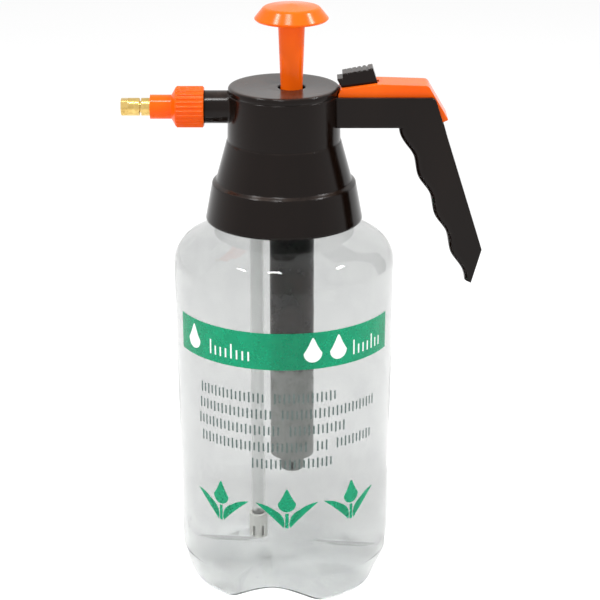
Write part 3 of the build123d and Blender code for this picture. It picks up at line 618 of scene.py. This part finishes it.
def neck_thread():
    """The screw thread round the neck: one ridge that runs out to nothing at both ends."""
    mesh = bmesh.new()
    corners = [
        (-THREAD_ROOT, -THREAD_HALF), (THREAD_HEIGHT, -THREAD_HALF / 2),
        (THREAD_HEIGHT, THREAD_HALF / 2), (-THREAD_ROOT, THREAD_HALF),
    ]
    section = mesh.faces.new([mesh.verts.new((NECK + x, 0, THREAD_START + z)) for x, z in corners])
    bmesh.ops.spin(
        mesh, geom=[section, *section.edges, *section.verts], cent=(0, 0, 0), axis=(0, 0, 1),
        dvec=(0, 0, THREAD_PITCH / THREAD_STEPS), angle=2 * pi * THREAD_TURNS,
        steps=int(THREAD_STEPS * THREAD_TURNS),
    )
    for vert in mesh.verts:
        radius = hypot(vert.co.x, vert.co.y)
        share = atan2(vert.co.y, vert.co.x) % (2 * pi) / (2 * pi)
        climb = (vert.co.z - THREAD_START) / THREAD_PITCH
        turn = min(range(3), key=lambda whole: abs(climb - share - whole))
        travel = share + turn
        height_left = min(1.0, max(0.0, min(travel, THREAD_TURNS - travel)) / THREAD_RUN_OUT)
        if radius > NECK:
            wanted = NECK - THREAD_SUNK + (radius - NECK + THREAD_SUNK) * height_left
            vert.co.x *= wanted / radius
            vert.co.y *= wanted / radius
    clear = finishes["clear_pet"]
    return finished_piece("neck_thread", mesh, clear, "bottle_body", smooth=False)


# Printing on the bottle's side


def side_radius(height):
    """The bottle's outer radius at a height on its straight side."""
    return BASE_RADIUS + (SIDE - BASE_RADIUS) * (height - BASE_TOP) / (SHOULDER - BASE_TOP)


def wrap_print(name, mesh, material, lift):
    """Wraps flat printing, drawn in X and Z, round the bottle's side as a thin closed film."""
    for cut in range(-WRAP_CUTS, WRAP_CUTS + 1):
        bmesh.ops.bisect_plane(
            mesh, geom=mesh.verts[:] + mesh.edges[:] + mesh.faces[:], plane_co=(cut * WRAP_STEP, 0, 0),
            plane_no=(1, 0, 0), dist=0.001 * MM,
        )
    for vert in mesh.verts:
        angle = vert.co.x / side_radius(vert.co.z)
        radius = side_radius(vert.co.z) + lift
        vert.co = (radius * sin(angle), -radius * cos(angle), vert.co.z)
    bmesh.ops.remove_doubles(mesh, verts=mesh.verts, dist=0.001 * MM)
    bmesh.ops.solidify(mesh, geom=mesh.faces[:], thickness=-FILM)
    return finished_piece(name, mesh, material, "bottle_body", smooth=False)


def flat_patch(mesh, left, right, low, high):
    """A flat rectangle of print, in the XZ plane."""
    place = Matrix.Translation(((left + right) / 2, 0, (low + high) / 2)) @ Matrix.Rotation(pi / 2, 4, "X")
    made = bmesh.ops.create_grid(mesh, x_segments=1, y_segments=1, size=0.5, matrix=Matrix.Identity(4))
    bmesh.ops.scale(mesh, verts=made["verts"], vec=(right - left, high - low, 1))
    bmesh.ops.transform(mesh, verts=made["verts"], matrix=place)


def flat_leaf(mesh, foot, length, width, lean):
    """A pointed leaf that stands on its foot and leans by an angle."""
    made = bmesh.ops.create_circle(mesh, cap_ends=True, radius=1.0, segments=28)
    for vert in made["verts"]:
        rise = (vert.co.y + 1) / 2
        across = vert.co.x * abs(vert.co.x) * width / 2
        along = rise * length
        bend = lean * (0.55 + 0.75 * rise)
        vert.co.x = foot[0] + along * sin(bend) + across * cos(bend)
        vert.co.y = 0
        vert.co.z = foot[1] + along * cos(bend) - across * sin(bend)


def flat_drop(mesh, centre, size):
    """A water drop with its point upwards."""
    made = bmesh.ops.create_circle(mesh, cap_ends=True, radius=1.0, segments=32)
    for vert in made["verts"]:
        up = max(0.0, vert.co.y)
        across = vert.co.x * (1 - 0.55 * up)
        vert.co = (centre[0] + across * size * 0.5, 0, centre[1] + (vert.co.y + 0.75 * up**3) * size * 0.5)


BAND_LOW, BAND_HIGH = 121.8 * MM, 139.3 * MM
BAND_HALF = radians(66) * side_radius(BAND_LOW)
DROP_ANGLES = (-53, 15, 29)
DROP_SIZE = 8.6 * MM
DROP_SUNK = 1.2 * MM
TICK_ROWS = (
    # first angle in degrees, ticks
    (-41, 8),
    (38, 7),
)
TICK_TURN = 3.2
TICK_WIDTH = 0.8 * MM
TICK_RISE = 3.6 * MM
LONG_TICK, SHORT_TICK = 7.0 * MM, 4.4 * MM
LONG_TICK_EVERY = 4


def green_band():
    mesh = bmesh.new()
    flat_patch(mesh, -BAND_HALF, BAND_HALF, BAND_LOW, BAND_HIGH)
    return wrap_print("print_band", mesh, green_ink, LOW_LIFT)


def band_marks():
    """Plain drops and level ticks in white on the band, in place of any lettering."""
    mesh = bmesh.new()
    middle = (BAND_LOW + BAND_HIGH) / 2
    for angle in DROP_ANGLES:
        flat_drop(mesh, (radians(angle) * side_radius(middle), middle - DROP_SUNK), DROP_SIZE)
    foot = BAND_LOW + TICK_RISE
    for first, count in TICK_ROWS:
        for tick in range(count):
            left = radians(first + tick * TICK_TURN) * side_radius(middle)
            tall = LONG_TICK if tick % LONG_TICK_EVERY == 0 else SHORT_TICK
            flat_patch(mesh, left, left + TICK_WIDTH, foot, foot + tall)
    return wrap_print("print_band_marks", mesh, white_ink, HIGH_LIFT)


PRINT_ROWS = (
    # height in millimetres, first angle in degrees, strokes in each group
    (107.8, -48, (16, 14)),
    (99.9, -49, (18, 23)),
    (92.0, -50, (20, 13)),
    (83.8, -48, (25, 3, 10)),
    (75.5, -17, (18,)),
)
STROKE_STEP = 2.15 * MM
STROKE_WIDTH = 0.78 * MM
LONG_STROKE, SHORT_STROKE = 2.5 * MM, 2.0 * MM
GROUP_GAP = 1.6 * STROKE_STEP


def print_rows():
    """Five rows of plain upright strokes in groups."""
    mesh = bmesh.new()
    for height, first, groups in PRINT_ROWS:
        middle = height * MM
        left = radians(first) * side_radius(middle)
        for strokes in groups:
            for stroke in range(strokes):
                reach = LONG_STROKE if stroke % 2 == 0 else SHORT_STROKE
                flat_patch(mesh, left, left + STROKE_WIDTH, middle - reach, middle + reach)
                left += STROKE_STEP
            left += GROUP_GAP
    return wrap_print("print_rows", mesh, grey_ink, LOW_LIFT)


SPROUT_LOW = 43.2 * MM
SPROUT_ANGLES = (-36, 1.5, 38.5)
STEM_HALF = 0.8 * MM
STEM_HEIGHT = 7.5 * MM
BUD_RISE, BUD_SIZE = 12.4 * MM, 8.4 * MM
LEAVES = (
    # distance from the stem, rise, length, width, lean
    (1.5 * MM, 0, 18.0 * MM, 3.4 * MM, radians(36)),
    (1.3 * MM, 0.6 * MM, 10.5 * MM, 2.6 * MM, radians(24)),
)


def sprout_icons():
    """Three generic sprouts: a stem with a bud, between two pairs of leaves."""
    mesh = bmesh.new()
    for angle in SPROUT_ANGLES:
        x = radians(angle) * side_radius(SPROUT_LOW)
        flat_patch(mesh, x - STEM_HALF, x + STEM_HALF, SPROUT_LOW, SPROUT_LOW + STEM_HEIGHT)
        flat_drop(mesh, (x, SPROUT_LOW + BUD_RISE), BUD_SIZE)
        for side in (-1, 1):
            for out, rise, length, width, lean in LEAVES:
                flat_leaf(mesh, (x + side * out, SPROUT_LOW + rise), length, width, side * lean)
    return wrap_print("print_sprouts", mesh, green_ink, LOW_LIFT)


# Stage


def soft_box(name, direction):
    """A soft rectangular lamp that faces the middle of the sprayer."""
    lamp = bpy.data.lights.new(name, "AREA")
    lamp.shape = "RECTANGLE"
    lamp.size = LAMP_WIDTH
    lamp.size_y = LAMP_DEPTH
    lamp.energy = LAMP_POWER
    holder = bpy.data.objects.new(name, lamp)
    holder.location = Vector(LAMP_AIM) + Vector(direction).normalized() * LAMP_DISTANCE
    holder.rotation_euler = Vector(direction).to_track_quat("Z", "Y").to_euler()
    bpy.context.scene.collection.objects.link(holder)


def pale_floor():
    mesh = bmesh.new()
    bmesh.ops.create_circle(mesh, cap_ends=True, radius=FLOOR_RADIUS, segments=96)
    data = bpy.data.meshes.new("floor")
    mesh.to_mesh(data)
    mesh.free()
    floor = bpy.data.objects.new("floor", data)
    bpy.context.scene.collection.objects.link(floor)
    material, tree, shader = material_of("pale_floor", Roughness=0.9, Specular_IOR_Level=0.0)
    speckle = noise_node(tree, object_place(tree), 3.0, 2.0)
    colour = mix_colour(tree, speckle, (0.9, 0.9, 0.9), (0.92, 0.92, 0.92))
    tree.links.new(colour, shader.inputs["Base Color"])
    data.materials.append(material)


def studio():
    world = bpy.data.worlds.new("studio")
    world.use_nodes = True
    sky = world.node_tree.nodes["Background"]
    sky.inputs["Color"].default_value = (1.0, 1.0, 1.0, 1.0)
    sky.inputs["Strength"].default_value = SKY_STRENGTH
    bpy.context.scene.world = world
    bpy.context.scene.view_settings.view_transform = "Standard"
    for name, direction in LAMPS.items():
        soft_box(name, direction)
    pale_floor()


def place_camera():
    data = bpy.data.cameras.new("camera")
    data.lens = CAMERA_LENS
    camera = bpy.data.objects.new("camera", data)
    camera.location = CAMERA_PLACE
    camera.rotation_euler = (CAMERA_TILT, 0, 0)
    bpy.context.scene.collection.objects.link(camera)
    bpy.context.scene.camera = camera


dress_cad_pieces()
bottle_shell()
neck_thread()
green_band()
band_marks()
print_rows()
sprout_icons()
studio()
place_camera()
